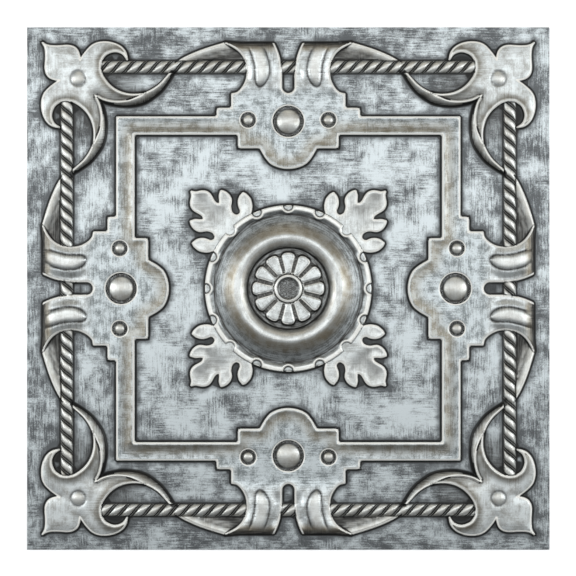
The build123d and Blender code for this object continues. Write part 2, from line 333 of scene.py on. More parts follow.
def lay_strap(relief):
    """The strap, its cartouches and the ribbons, with their grooves and drops."""
    across, up = relief.across, relief.up
    depth = strap_outline.depth(across, up)
    over_rope = 4.0 * ease(up, 217, 246)
    curl = np.clip((up - 262) / (FOLD - 262), 0, 1)
    fold = 1 - np.sqrt(1 - np.minimum(curl, 0.999) ** 2)
    inner = span_distance(across, up, [strap_inner_edge, lobe_side, lobe_end])
    on_bar = 0.45 + 0.55 * ease(across, 58, 90)
    channel = (1.5 * ease(inner, 1.2, 8.5) + 0.9 * ease(depth, 1.0, 5.5)) * on_bar
    into_drop = drop_outline.depth(across, up)
    on_ribbon = ease(up, 222, 232)
    drop = DROP_RISE * (1 - (1 - np.clip(into_drop / 6, 0, 1)) ** 2)
    lean = 3.8 * ease(-into_drop, 0.6, 11.0) * ease(up, 226, 244) * (1 - ease(up, 262, 276))
    drop_line = np.exp(-((into_drop + 0.3) / 1.3) ** 2) * on_ribbon * (1 - ease(up, 268, 278))
    top = STRAP_TOP - channel + over_rope - 5.0 * fold - lean
    top = top + drop * on_ribbon - 0.9 * drop_line
    height = SHEET + (top - SHEET) * shoulder(depth)
    lip = depth
    groove = np.zeros(len(across))
    for (cx, cy), rim in ((BOSS, BOSS_RIM), (STUD, STUD_RIM)):
        from_rim = np.hypot(across - cx, up - cy) - rim
        height = np.minimum(height, GROOVE_FLOOR + (top - GROOVE_FLOOR) * shoulder(from_rim))
        lip = np.where(from_rim > -WALL, np.minimum(lip, 1.5 * from_rim), REACH)
        # The grooves round the bosses and studs, the line round each drop, the outer end of the bar and
        # the curl of the fold are darkened: dark wash and painted shade.
        groove = np.maximum(groove, 0.95 * ease(-from_rim, 0.8, 1.8))
    bar = 0.2 * ease(across, 84, 92) * ease(depth, 1.5, 4.0)
    hollow = np.maximum.reduce([groove, bar, 0.9 * drop_line, 0.9 * ease(curl, 0.45, 1.0)])
    # A painted highlight near the strap's outer edge and along each drop.
    near_edge = 0.35 * ease(up, 192, 204) * (1 - ease(depth, 0.8, 5.5))
    crest = np.maximum(0.6 * on_ribbon * ease(into_drop, 0.8, 5.0), near_edge)
    crest = crest * (1 - ease(curl, 0.3, 0.8))
    # Painted brown shade along the lobe's inner edge and over the fold.
    by_lobe = 0.75 * ease(inner, 1.0, 3.0) * (1 - ease(inner, 6.0, 19.0))
    warm = np.maximum(by_lobe, ease(curl, 0.25, 0.7))
    from_fold = span_distance(across, up, [fold_edge])
    from_sides = span_distance(across, up, [ribbon_inner, ribbon_outer])
    lip = np.where((from_fold < from_sides) & (lip > -WALL) & (lip < 3), 3, lip)
    relief.lay(height, depth, top, lip, hollow, crest, 0.7 * on_ribbon, warm)


def lay_bosses(relief):
    """The domes that sit in the cartouche's grooves."""
    for (cx, cy), radius, top in ((BOSS, BOSS_RADIUS, BOSS_TOP), (STUD, STUD_RADIUS, STUD_TOP)):
        distance = np.hypot(relief.across - cx, relief.up - cy)
        side = BOSS_SIDE * np.clip((radius - distance) / 0.9, 0, 1)
        height = GROOVE_FLOOR + side + cap(distance, radius, top - GROOVE_FLOOR - BOSS_SIDE)
        height = np.where(distance < radius, height, 0)
        # A painted highlight on the middle of each dome.
        crest = 0.4 * (1 - ease(distance, 0.5 * radius, radius))
        shade = 0.7 * ease(distance, radius - 1.4, radius - 0.4)
        relief.lay(height, radius - distance, 0, REACH, shade, crest, 1.0, 0.4, wall=0.0)


# %% [markdown]
# ## The ribbon's tail
#
# Past the fold the ribbon hangs back behind itself, and slides under the rope towards the corner.
# Its upper edge stands up and catches the brush, and the rest leans down into shadow.

# %% The tail behind the fold
TAIL_TOP = 6.4
tail_edge = through([
    (70.5, 279.8), (80.3, 276.9), (89.9, 273.9), (99.0, 270.8), (108.5, 267.0), (119.0, 262.0),
    (128.0, 256.5),
])
tail_outline = Outline(tail_edge, closing=[(128, 253), (45, 253), (52, 268)])


def lay_tail(relief):
    """The ribbon's tail, from its bright edge down to the rope."""
    depth = tail_outline.depth(relief.across, relief.up)
    inside = depth > 0
    crease = np.exp(-((depth - 10.5) / 1.6) ** 2) * ease(relief.across, 60, 72)
    sunk = 3.2 * (1 - ease(relief.across, 64, 84))
    top = TAIL_TOP - sunk - 3.6 * ease(depth, 1.0, 15.0) * ease(relief.across, 50, 84) + 0.9 * crease
    height = SHEET + (top - SHEET) * shoulder(depth)
    height = np.where(np.abs(relief.up - ROPE_LINE) < ROPE_HALF, 0, height)
    # Painted shade as the tail leans down towards the rope.
    hollow = np.where(inside, 0.95 * ease(depth, 4.0, 9.0) - 0.35 * crease, 0)
    pale = np.maximum(0.25 * crease, 0.4 * (1 - ease(depth, 3.0, 7.0)))
    relief.lay(height, depth, TAIL_TOP, depth, np.clip(hollow, 0, 1), pale, 1.0, 0.4)


# %% [markdown]
# ## The rope
#
# A twisted rope runs along each side, under the ribbons and into the corner flowers. On a real
# rope a strand goes round the outside at a steady slope, so seen from above it runs nearly
# straight over the crown and flattens at the sides: that is an arc sine. A thin filament lies in
# the groove between two strands.

# %% The rope's strands
ROPE_LINE = 252.2
ROPE_HALF = 7.3
ROPE_TOP = 5.9
STRAND_PITCH = 14.2
STRAND_SWEEP = 17.5
STRAND_START = 3.8
STRAND_HALF = 0.37
FILAMENT_HALF = 0.075
ROPE_END = 213.0


def lay_rope(relief):
    """The rope along each side, with its strands twisted the same way on all four."""
    across_rope = (relief.up - ROPE_LINE) / ROPE_HALF
    body = np.sqrt(np.maximum(1 - across_rope**2, 0)) * (relief.across < ROPE_END)
    sweep = STRAND_SWEEP / math.pi * np.arcsin(np.clip(across_rope, -1, 1))
    turn = (relief.along - sweep + STRAND_START) / STRAND_PITCH
    off_strand = np.abs(turn - np.round(turn))
    strand = np.sqrt(np.maximum(1 - (off_strand / STRAND_HALF) ** 2, 0))
    filament = 0.78 * np.clip((FILAMENT_HALF - np.abs(off_strand - 0.5)) / 0.03, 0, 1)
    twist = np.maximum(strand, filament)
    height = SHEET + body * (2.6 + (ROPE_TOP - SHEET - 2.6) * twist)
    height = np.where(body > 0, height, 0)
    depth = ROPE_HALF - np.abs(relief.up - ROPE_LINE)
    depth = np.where(relief.across < ROPE_END, depth, -REACH)
    # Painted shade between the strands and along the rope's sides, and a painted highlight on each
    # strand's crown.
    hollow = np.maximum(1.2 - twist * 1.6, 0.7 * ease(np.abs(across_rope), 0.8, 1.0))
    crest = 0.6 * ease(strand, 0.6, 1.0) * (1 - ease(np.abs(across_rope), 0.3, 0.9))
    top = np.where(depth > 0, 0, ROPE_TOP)
    relief.lay(height, depth + 0.5, top, REACH, np.maximum(hollow, 0), crest, 1.0, 0.35, wall=0.0)


# %% [markdown]
# ## The corner flowers
#
# In each corner a three-petalled lily turns two long petals into scrolls, and the rope comes out
# of each scroll's eye. Below the scroll a crescent tail swings back to the rope. The flower is the
# same on both sides of the tile's diagonal, so half of it is drawn.

# %% The lily's outline
LILY_TOP = 7.5
LILY_BOSS = (239.0, 239.0)
LILY_BOSS_RADIUS = 7.8
LILY_BOSS_RISE = 1.8
CRESCENT_TOP = 6.2

petal_edge = through([
    (280.0, 280.0), (275.6, 277.3), (269.9, 276.1), (262.0, 275.9), (252.9, 276.5), (247.8, 276.1),
    (243.3, 274.4), (239.9, 271.0), (238.0, 266.0), (237.0, 259.6),
])
scroll_edge = through([
    (237.0, 259.6), (231.8, 267.6), (225.2, 275.0), (220.1, 278.4), (214.4, 280.1), (207.6, 280.5),
    (200.8, 279.5), (195.2, 277.6), (190.6, 275.0), (186.7, 271.1), (184.4, 266.5), (183.2, 260.0),
])
eye_edge = through([
    (183.2, 260.0), (186.7, 265.4), (190.6, 268.2), (196.3, 269.7), (202.0, 268.8), (207.6, 266.0),
    (211.0, 262.0), (213.0, 257.5), (213.5, 252.0), (213.1, 247.3), (211.6, 242.7), (207.6, 236.5),
    (203.1, 231.4), (197.4, 226.9), (190.6, 223.5), (183.9, 221.6), (178.2, 220.9), (172.0, 221.0),
    (163.0, 222.4),
])
crease = through([
    (163.0, 222.4), (168.0, 219.3), (173.7, 216.9), (180.4, 214.4), (187.2, 213.1), (194.0, 212.7),
    (200.8, 213.3), (207.6, 214.8), (212.2, 216.5), (216.7, 219.0), (220.5, 220.5),
])
lily_outline = Outline(petal_edge, scroll_edge, eye_edge, closing=crease)

# %% The crescent below the scroll
crescent_crest = np.vstack([
    crease[::-1],
    through([
        (163.0, 222.4), (156.7, 225.2), (151.0, 228.6), (145.3, 233.1), (139.7, 239.3),
        (132.0, 248.0),
    ])[1:],
])
crescent_foot = through([
    (126.0, 248.0), (130.1, 243.3), (134.0, 237.1), (138.6, 230.3), (144.2, 223.5), (151.0, 217.8),
    (160.1, 211.6), (169.1, 208.2), (179.3, 206.7), (190.6, 206.5), (199.7, 208.0), (207.6, 209.9),
    (214.4, 213.3), (220.5, 220.5),
])
crescent_outline = Outline(crescent_crest, crescent_foot)


def lay_lily(relief):
    """The flower's petals, scrolls and centre boss."""
    across, up = relief.across, relief.up
    depth = lily_outline.depth(across, up)
    near = depth > -REACH
    crease_gap = np.full(len(across), REACH)
    crease_gap[near] = np.minimum(span_distance(across[near], up[near], [crease]), REACH)
    from_boss = np.hypot(across - LILY_BOSS[0], up - LILY_BOSS[1])
    eye_gap = np.full(len(across), REACH)
    eye_gap[near] = np.minimum(span_distance(across[near], up[near], [eye_edge]), REACH)
    flare = 1 - ease(eye_gap, 0.8, 10.5)
    sink = np.clip(1 - crease_gap / 15, 0, 1) ** 1.4 * ease(from_boss, 14, 32)
    ring = np.exp(-((from_boss - LILY_BOSS_RADIUS - 0.6) / 1.1) ** 2)
    swell = 0.8 * ease(depth, 0.5, 9.0)
    top = LILY_TOP - 1.9 + 1.9 * flare + swell * (1 - flare) - 3.4 * sink - 0.8 * ring
    height = SHEET + (top - SHEET) * shoulder(depth)
    # Painted shade in the sunk middle, round the boss ring, in the scrolls and along the crease, and
    # painted brown shade on the scrolls.
    valley = 1.35 * (1 - ease(crease_gap, 1.6, 3.2)) * (from_boss > 27)
    scroll = 0.6 * flare * ease(eye_gap, 1.5, 2.8)
    hollow = np.maximum.reduce([0.8 * sink**2, 0.6 * ring, scroll, valley])
    warm = np.maximum(0.9 * flare * ease(eye_gap, 1.0, 2.4), 0.5 * sink)
    relief.lay(height, depth, LILY_TOP, depth, hollow, 0.0, 1.0, warm)
    boss = LILY_TOP - 1.7 + cap(from_boss, LILY_BOSS_RADIUS, LILY_BOSS_RISE)
    boss = np.where(from_boss < LILY_BOSS_RADIUS, boss, 0)
    # A painted highlight on the middle of the boss.
    crest = 0.45 * (1 - ease(from_boss, 4.0, 7.5))
    shade = 0.65 * ease(from_boss, 6.7, 7.5)
    relief.lay(boss, LILY_BOSS_RADIUS - from_boss, 0, REACH, shade, crest, 1.0, 0.3, wall=0.0)


def lay_crescent(relief):
    """The crescent tail, sharp along its crest and rounded down to its outer foot."""
    across, up = relief.across, relief.up
    depth = crescent_outline.depth(across, up)
    near = depth > -REACH
    crest_gap = np.full(len(across), REACH)
    foot_gap = np.full(len(across), REACH)
    crest_gap[near] = span_distance(across[near], up[near], [crescent_crest])
    foot_gap[near] = span_distance(across[near], up[near], [crescent_foot])
    share = foot_gap / (foot_gap + crest_gap + 1e-6)
    body = (CRESCENT_TOP - SHEET) * np.sin(share * math.pi / 2)
    wall = (CRESCENT_TOP - SHEET) * np.clip(1 - crest_gap / WALL, 0, 1)
    inside = depth > 0
    height = SHEET + np.where(inside, body, np.where(near, wall, 0))
    height = np.where(up > ROPE_LINE - ROPE_HALF, 0, height)
    lip = np.where(inside, crest_gap, -crest_gap)
    # Painted shade down the rounded side towards the outer foot.
    hollow = np.where(inside, 1.0 * (1 - ease(share, 0.1, 0.85)), 0)
    relief.lay(height, depth, CRESCENT_TOP, lip, hollow, 0.0, 1.0, 0.4, wall=0.0)


# %% [markdown]
# ## The medallion
#
# The middle of the tile is turned work: a notched rim, a hollow, a swelling that rises to a bright
# crest, and a well with a rosette in it. Anything turned is a profile, a height for each radius.
# A smooth run through a dozen points of that profile gives the height anywhere.

# %% The medallion's profile
RIM_EDGE = 93.8
RIM_TOP = 6.2
NOTCHES = 16
NOTCH_RADIUS = 6.9
NOTCH_LINE = 94.2
SEAT_TOP = 3.4
WELL = 45.8
WELL_FLOOR = 3.4

profile = through([
    (WELL, WELL_FLOOR), (46.9, 6.0), (48.6, 8.6), (51.0, 10.6), (54.0, 12.1), (57.0, 12.85),
    (59.0, relief_top), (61.0, 12.7), (63.5, 11.7), (67.0, 9.9), (72.0, 7.7), (76.5, 5.9),
    (79.5, 5.2), (82.0, 4.5), (84.5, 4.2), (87.0, 4.9), (88.8, 5.9), (91.5, RIM_TOP), (98.0, 5.9),
], step=0.4)


def from_notches(relief):
    """Distance out from the nearest of the round notches in the rim."""
    spread = 2 * math.pi / NOTCHES
    angle = np.arctan2(relief.y, relief.x)
    angle = angle - spread * np.round(angle / spread)
    beside, out = relief.radius * np.sin(angle), relief.radius * np.cos(angle)
    return np.hypot(out - NOTCH_LINE, beside) - NOTCH_RADIUS


def lay_seat(relief):
    """The low step that the rim stands on, which shows only in its notches."""
    depth = RIM_EDGE - relief.radius
    height = SHEET + (SEAT_TOP - SHEET) * np.clip(1 + depth / WALL, 0, 1)
    lip = np.where(depth > 0, REACH, depth)
    height = np.where(np.abs(depth - 4) < 4 + WALL, height, 0)
    relief.lay(height, depth, SEAT_TOP, lip, 0.0, 0.2, 0.3)


def lay_medallion(relief):
    """The turned part of the medallion, with its notched rim."""
    radius = relief.radius
    turned = np.interp(radius, profile[:, 0], profile[:, 1])
    turned = np.minimum(np.where(radius < WELL, WELL_FLOOR, turned), relief_top)
    notch = from_notches(relief)
    depth = np.minimum(RIM_EDGE - radius, notch)
    ridge = (RIM_TOP - turned) * (1 - ease(notch, 1.4, 3.4)) * ease(radius, 80, 84)
    turned = turned + np.maximum(ridge, 0)
    height = SHEET + (turned - SHEET) * np.clip(1 + depth / WALL, 0, 1)
    on_ridge = (1 - ease(notch, 0.5, 1.5)) * ease(radius, 82, 84)
    # Painted shade on the outer slope, in the cove and down the well, with a dark line at the well's foot;
    # a painted highlight on the crown and dry-brushed silver on the rim; painted brown shade on the slope
    # and the well's wall.
    slope = (0.16 + 0.28 * ease(radius, 66, 76)) * ease(radius, 61, 66)
    cove = 1.0 * np.exp(-((radius - 84.2) / 3.0) ** 2)
    well = 0.78 * (1 - ease(radius, 46.5, 53.0))
    well_line = 1.35 * np.exp(-((radius - 46.4) / 1.2) ** 2)
    rim = ease(radius, 89.0, 90.8)
    hollow = np.maximum(slope, cove) * (1 - rim) * (1 - on_ridge)
    hollow = np.maximum.reduce([hollow, well, well_line])
    crest = np.maximum(0.62 * np.exp(-((radius - 57.4) / 5.2) ** 2), 0.9 * np.maximum(rim, on_ridge))
    warm = ease(radius, 60, 63) * (1 - ease(radius, 68, 78)) + 0.6 * ease(radius, 46, 49) * (radius < 54)
    brushed = 0.85 * ease(radius, 52, 56) * (1 - ease(radius, 87, 89))
    relief.lay(height, depth, RIM_TOP, depth, hollow, crest, 1 - brushed, warm)


# %% [markdown]
# A rosette of twelve petals lies on the floor of the well, round a dished eye. One half petal is
# drawn, and the angle of each point is folded back onto it.

# %% The rosette
PETALS = 12
PETAL_TOP = 6.0
PETAL_WALL = 1.6
PETAL_BED = 4.6
BED_RADIUS = 37.2
EYE_EDGE = 14.5
EYE_TOP = 7.0
EYE_WALL = 3.0
DISH_RADIUS = 13.3
DISH_DEPTH = 2.0
petal_side = straight([(0.9, 15.0), (5.7, 35.2)], step=1.4)
petal_end = through([(5.7, 35.2), (5.9, 36.8), (5.0, 38.4), (2.7, 39.3), (0.0, 39.5)], step=1.0)
rosette_outline = Outline(petal_side, petal_end, closing=[(0, 15)])


def lay_rosette(relief):
    """The petals on their scalloped bed, and the eye in their middle."""
    radius = relief.radius
    spread = 2 * math.pi / PETALS
    angle = np.arctan2(relief.y, relief.x)
    angle = np.abs(angle - spread * np.round(angle / spread))
    depth = rosette_outline.depth(radius * np.sin(angle), radius * np.cos(angle))
    bed = np.maximum(depth + 2.0, BED_RADIUS - radius)
    height = WELL_FLOOR + (PETAL_BED - WELL_FLOOR) * np.clip(1 + bed, 0, 1)
    height = np.where((bed > -1) & (radius < WELL), height, 0)
    # Dark lines and painted shade in the gaps between the petals.
    outline = 1.4 * (1 - ease(bed, 0.2, 1.2))
    relief.lay(height, bed, PETAL_BED, REACH, np.maximum(0.92, outline), 0.0, 1.0, 0.5, wall=1.0)
    height = PETAL_BED + (PETAL_TOP - PETAL_BED) * shoulder(depth, PETAL_WALL, 1.4)
    on_petal = (depth > -PETAL_WALL) & (radius < WELL) & (radius > EYE_EDGE + EYE_WALL - 0.1)
    height = np.where(on_petal, height, 0)
    relief.lay(height, depth, 0, np.where(depth > 0, REACH, depth), 0.0, 0.45, 0.0, wall=PETAL_WALL)
    into_eye = EYE_EDGE - radius
    height = PETAL_BED + (EYE_TOP - PETAL_BED) * shoulder(into_eye, EYE_WALL, 1.4)
    dish = DISH_DEPTH * ease(DISH_RADIUS - radius, -0.6, 3.0)
    height = np.where(into_eye > -EYE_WALL, height - dish, 0)
    # Painted shade in the eye's dish; its ring stays bright.
    ring = ease(radius, DISH_RADIUS - 0.6, DISH_RADIUS + 0.4)
    lip = np.where(into_eye > 0, REACH, into_eye)
    relief.lay(height, into_eye, EYE_TOP, lip, 0.82 * (1 - ring), ring, 1.0, wall=EYE_WALL)


# %% [markdown]
# ## The leaves
#
# A five-lobed leaf reaches out from under the rim on each diagonal. Half of it is drawn, from the
# tip to the rim. The lobes are dished a little, and their middles are painted darker, as shade.

# %% The leaf
LEAF_TOP = 5.0
leaf_outline = Outline(
    through([
        (110.6, 110.6), (105.6, 109.6), (101.6, 110.3), (97.6, 110.9), (93.6, 110.3), (90.3, 108.5),
        (87.9, 105.6), (85.9, 102.0), (83.9, 98.8), (81.5, 96.8), (78.0, 96.3),
    ]),
    through([(78.0, 96.3), (77.9, 101.0), (78.2, 106.0), (76.6, 111.3)]),
    through([
        (76.6, 111.3), (73.4, 110.5), (69.4, 108.1), (66.6, 104.8), (65.2, 101.2), (65.3, 97.6),
        (66.0, 93.6), (65.3, 89.0), (63.4, 85.4), (59.3, 83.2), (55.6, 84.6), (54.2, 88.4),
        (55.7, 92.7), (56.5, 96.0), (56.5, 100.0), (55.0, 104.6), (51.6, 108.9),
    ]),
    through([
        (51.6, 108.9), (48.4, 107.3), (45.2, 104.0), (43.2, 100.8), (42.0, 96.0), (41.8, 91.9),
        (42.4, 87.1), (42.8, 80.0),
    ]),
    closing=[(30, 60), (45, 45)],
)


def lay_leaf(relief):
    """The leaf under the rim on each diagonal."""
    depth = leaf_outline.depth(relief.across, relief.up)
    dish = 1.5 * ease(depth, 1.4, 6.5) * ease(relief.radius, 104, 118)
    height = SHEET + (LEAF_TOP - dish - SHEET) * shoulder(depth)
    under_rim = np.minimum(RIM_EDGE - relief.radius, from_notches(relief)) > -0.2
    height = np.where(under_rim, 0, height)
    pale = 0.3 + 0.3 * (1 - ease(depth, 1.5, 6.0))
    # Painted shade in the dished middles of the lobes.
    relief.lay(height, depth, LEAF_TOP, depth, 0.38 * dish, pale, 0.35)


# %% [markdown]
# Inside each scroll the bare sheet is painted dark, as shade.

# %% The whole face
def shade_scrolls(relief):
    """Paints shade on the bare sheet inside the scrolls."""
    inside = (relief.raised == 0) & (relief.up > 221) & (relief.up < 262)
    relief.hollow[inside] = 0.62 * ease(relief.across, 154, 184)[inside]


FORMS = (lay_seat, lay_leaf, lay_medallion, lay_rosette, lay_tail, lay_rope, lay_strap,
         lay_bosses, lay_lily, lay_crescent, shade_scrolls)


def face_over(x, y):
    """The finished relief over a set of points."""
    relief = Relief(np.asarray(x, float), np.asarray(y, float))
    for lay_form in FORMS:
        lay_form(relief)
    return relief


# %% [markdown]
# ## Points that follow the ornament
#
# A regular grid fine enough for these edges would need millions of triangles. Instead, points are
# set along every edge, at a few distances in and out of it: at the foot, up the wall, on the lip
# and just behind it. The flat fields get only a few. A Delaunay triangulation then joins them all.

# %% Rows of points along the edges
ROWS = (-WALL - 1.0, -WALL, -WALL / 2, 0.0, 0.9, 1.9, 3.2)
ROW_SLACK = 0.15


def rows_along(outline, distances=ROWS, every=1):
    """Points at set distances from an outline's edge, kept only where no other stretch is nearer."""
    found = []
    for run in outline.runs:
        heading = np.gradient(run, axis=0)
        side = np.column_stack([-heading[:, 1], heading[:, 0]])
        side /= np.linalg.norm(side, axis=1)[:, None]
        probe = run + 0.05 * side
        inward = np.where(outline.holds(*probe.T).mean() > 0.5, 1, -1)
        for distance in distances:
            row = (run + inward * distance * side)[::every]
            true = outline.depth(*row.T)
            found.append(row[np.abs(true - distance) < ROW_SLACK])
    return np.vstack(found)


def round_rows(centre, radii, step=1.3):
    """Rings of points round a centre."""
    return np.vstack([arc(centre, r, 0, 360, step)[:-1] for r in radii if r > 0])


def eightfold(points):
    """Copies points drawn in one eighth of the tile to the other seven."""
    x, y = points.T
    keep = (x >= -1e-6) & (x <= y + 1e-6)
    x, y = np.abs(x[keep]), y[keep]
    copies = [(x, y), (-x, y), (y, -x), (y, x), (-x, -y), (x, -y), (-y, x), (-y, -x)]
    return np.vstack([np.column_stack(copy) for copy in copies])


# %% Collect the points
edge_outlines = (strap_outline, lily_outline, crescent_outline, tail_outline, leaf_outline)
edge_points = [eightfold(rows_along(outline)) for outline in edge_outlines]
edge_points.append(eightfold(rows_along(strap_outline, (5.0, 7.2, 9.4), 2)))
edge_points.append(eightfold(rows_along(drop_outline, (-2.6, -1.4, -0.3, 0.8, 2.0, 3.6, 5.4))))
print("points along edges:", [len(points) for points in edge_points])

boss_rings = (1.6, 3.2, 4.8, 6.4, 8.0, 9.4, 10.8, 12.0, 13.2, 14.2, 15.2, 16.2, 17.3, 18.4, 19.3, 20.4)
stud_rings = (1.5, 2.9, 4.2, 5.3, 6.2, 7.3, 8.4, 9.5, 10.4, 11.5)
lily_rings = (1.5, 3.0, 4.4, 5.8, 7.0, 8.0, 8.8, 9.7, 11.0)
ring_points = [
    eightfold(round_rows(BOSS, boss_rings, 1.1)),
    eightfold(round_rows(STUD, stud_rings, 1.1)),
    eightfold(round_rows(LILY_BOSS, lily_rings)),
]
turned_rings = (
    *np.arange(1.8, 11, 2.0), 11.4, 12.4, 13.2, 14.0, 14.8, 15.6, 16.4, 17.2, 18.0, 18.8,
    43.0, 44.4, 45.0, 45.8, 46.6, 47.6, 48.6, 50.0, *np.arange(51.6, 87, 1.8), 87.2, 88.2, 89.2,
    90.2, 91.6, 92.8, 93.8, 94.9, 96.0, 97.2,
)
ring_points.append(round_rows((0, 0), turned_rings, 1.7))
print("points on rings:", [len(points) for points in ring_points])

# %% Notches, petals and rope
notch_rows = []
for notch in range(NOTCHES):
    facing = 2 * math.pi * notch / NOTCHES
    centre = (NOTCH_LINE * math.cos(facing), NOTCH_LINE * math.sin(facing))
    rings = round_rows(centre, NOTCH_RADIUS + np.array([-3.2, -WALL, -1.1, 0, 1.2, 2.4, 3.6]), 1.1)
    notch_rows.append(rings[np.hypot(*rings.T) < RIM_EDGE + 0.2])
petal_rows = rows_along(rosette_outline, (-3.6, -2.4, -PETAL_WALL, -0.8, 0.0, 0.8, 1.6, 3.4))
petal_rows = np.vstack([petal_rows, petal_rows * (-1, 1)])
petal_rows = petal_rows[np.hypot(*petal_rows.T) > EYE_EDGE + EYE_WALL + 1.8]
rosette_rows = []
for petal in range(PETALS):
    facing = 2 * math.pi * petal / PETALS
    turn = np.array([[math.cos(facing), -math.sin(facing)], [math.sin(facing), math.cos(facing)]])
    rosette_rows.append(petal_rows @ turn.T)
detail_points = [np.vstack(notch_rows), np.vstack(rosette_rows)]
print("points on notches and petals:", [len(points) for points in detail_points])

# %% [markdown]
# The rope's strands cross it at a slant, and triangles left to themselves would cut across them.
# So the rope's points are set in lines along the strands, and each line is kept as an edge that
# the triangulation has to follow.

# %% Lines along the strands
rope_rows = np.array([-1.0, -0.93, -0.76, -0.52, -0.26, 0.0, 0.26, 0.52, 0.76, 0.93, 1.0])
half_strand = np.array([0.12, 0.24, 0.32, STRAND_HALF, 0.5 - FILAMENT_HALF])
strand_points = np.concatenate([[0.0], half_strand, [0.5], 1 - half_strand[::-1]])
turns = (np.arange(-16, 16)[:, None] + strand_points).ravel()
sweeps = STRAND_SWEEP / math.pi * np.arcsin(rope_rows)[:, None]
along_rope = turns * STRAND_PITCH + sweeps - STRAND_START
up_rope = np.broadcast_to(ROPE_LINE + ROPE_HALF * rope_rows[:, None], along_rope.shape)
on_rope = np.abs(along_rope) < ROPE_END
one_side = np.column_stack([along_rope[on_rope], up_rope[on_rope]])
turned = one_side[:, ::-1] * (1, -1)
rope_sides = np.vstack([one_side, turned, -one_side, -turned])
number = np.cumsum(on_rope.ravel()).reshape(on_rope.shape) - 1
linked = on_rope[:-1] & on_rope[1:]
side_links = np.column_stack([number[:-1][linked], number[1:][linked]])
rope_links = np.vstack([side_links + side * len(one_side) for side in range(4)])
print(f"rope: {len(rope_sides)} points, {len(rope_links)} edges along strands")

# %% Fill in the surfaces
BORDER_CELLS = 80
FILL_STEP = 5.5
FINE_STEP = 2.85
shuffle = np.random.default_rng(7)


def loose_grid(step, reach):
    """A grid of points over the tile, each moved a little by chance."""
    line = np.arange(-reach, reach, step)
    x, y = np.meshgrid(line, line)
    x = x + step / 2 * (np.arange(len(line)) % 2)[:, None]
    spots = np.column_stack([x.ravel(), y.ravel()])
    return spots + shuffle.uniform(-0.15 * step, 0.15 * step, spots.shape)


fine = loose_grid(FINE_STEP, half_tile - 12)
over = face_over(*fine.T)
fine = fine[(over.smooth > 0.4) & (over.radius > 98)]
coarse = loose_grid(FILL_STEP, half_tile - 4)
border_line = np.linspace(-half_tile, half_tile, BORDER_CELLS + 1)
edge = np.full(BORDER_CELLS, half_tile)
border = np.vstack([
    np.column_stack([border_line[:-1], -edge]), np.column_stack([edge, border_line[:-1]]),
    np.column_stack([-border_line[:-1], edge]), np.column_stack([-edge, -border_line[:-1]]),
])
print(f"fill: {len(fine)} fine, {len(coarse)} coarse, {len(border)} round the border")

# %% Thin the points out
CLOSEST = 0.72


def thinned(groups, closest):
    """Keeps each point that has no earlier one too near, so that no triangle is a sliver."""
    kept, cells = [], {}
    for group, gap in groups:
        for x, y in group:
            column, row = int(x // closest), int(y // closest)
            reach = max(1, math.ceil(gap / closest))
            near = (cells.get((column + i, row + j))
                    for i in range(-reach, reach + 1) for j in range(-reach, reach + 1))
            if all(spot is None or math.dist(spot, (x, y)) >= gap for spot in near):
                cells[column, row] = (x, y)
                kept.append((x, y))
    return np.array(kept)


everything = np.vstack(detail_points + edge_points + ring_points)
inside_tile = np.abs(everything).max(1) < half_tile - 1
everything = everything[inside_tile]
face_points = thinned(
    [(border, 0), (rope_sides, 0), (everything, CLOSEST), (fine, 1.5), (coarse, 2.6)], CLOSEST,
)
print(f"{len(everything)} points along forms, {len(face_points)} kept in all")

# %% [markdown]
# ## The sheet
#
# The face is joined up into triangles. The back follows it a sheet's thickness below, as it does
# on a formed sheet, where the ornament is hollow from behind. The back is plainer: it takes the
# lowest point of the face around each of its corners, so it never comes through.

# %% Triangles for the face
face = face_over(*face_points.T)
kept_edges = (rope_links + len(border)).tolist()
joined = geometry.delaunay_2d_cdt([Vector(spot) for spot in face_points], kept_edges, [], 0, 1e-5)
face_triangles = np.array(joined[2])
assert len(joined[0]) == len(face_points)
print(f"face: {len(face_triangles)} triangles")

# %% The hollow back
BACK_THICKNESS = 1.0
back_x, back_y = np.meshgrid(border_line, border_line)
cell = border_line[1] - border_line[0]
probe_steps = np.linspace(-cell, cell, 7)
lowest = np.full(back_x.size, relief_top)
for step_x in probe_steps:
    for step_y in probe_steps:
        probe_x = np.clip(back_x.ravel() + step_x, -half_tile, half_tile)
        probe_y = np.clip(back_y.ravel() + step_y, -half_tile, half_tile)
        lowest = np.minimum(lowest, face_over(probe_x, probe_y).height)
back_height = np.maximum(lowest - BACK_THICKNESS, 0)
print(f"back: {back_x.size} corners, hollow up to {back_height.max():.1f} mm deep")

# %% [markdown]
# Face, back and cut edge are now sewn into one closed mesh. The face's border points and the
# back's were set at the same places, so a single row of quads joins them. The paint's measures
# travel with the mesh as attributes, one number at each corner.

# %% Sew the sheet together
face_corners = np.column_stack([face_points, face.height])
back_corners = np.column_stack([back_x.ravel(), back_y.ravel(), back_height])
a, b, c = (face_points[face_triangles[:, i]] for i in range(3))
clockwise = (b[:, 0] - a[:, 0]) * (c[:, 1] - a[:, 1]) < (b[:, 1] - a[:, 1]) * (c[:, 0] - a[:, 0])
face_triangles[clockwise] = face_triangles[clockwise][:, ::-1]

grid = np.arange(back_x.size).reshape(back_x.shape) + len(face_corners)
back_quads = np.stack([grid[:-1, :-1], grid[1:, :-1], grid[1:, 1:], grid[:-1, 1:]], -1).reshape(-1, 4)
rim_back = np.concatenate([grid[0, :-1], grid[:-1, -1], grid[-1, :0:-1], grid[:0:-1, 0]])
rim_face = np.arange(len(border))
edge_quads = np.stack([rim_back, np.roll(rim_back, -1), np.roll(rim_face, -1), rim_face], -1)

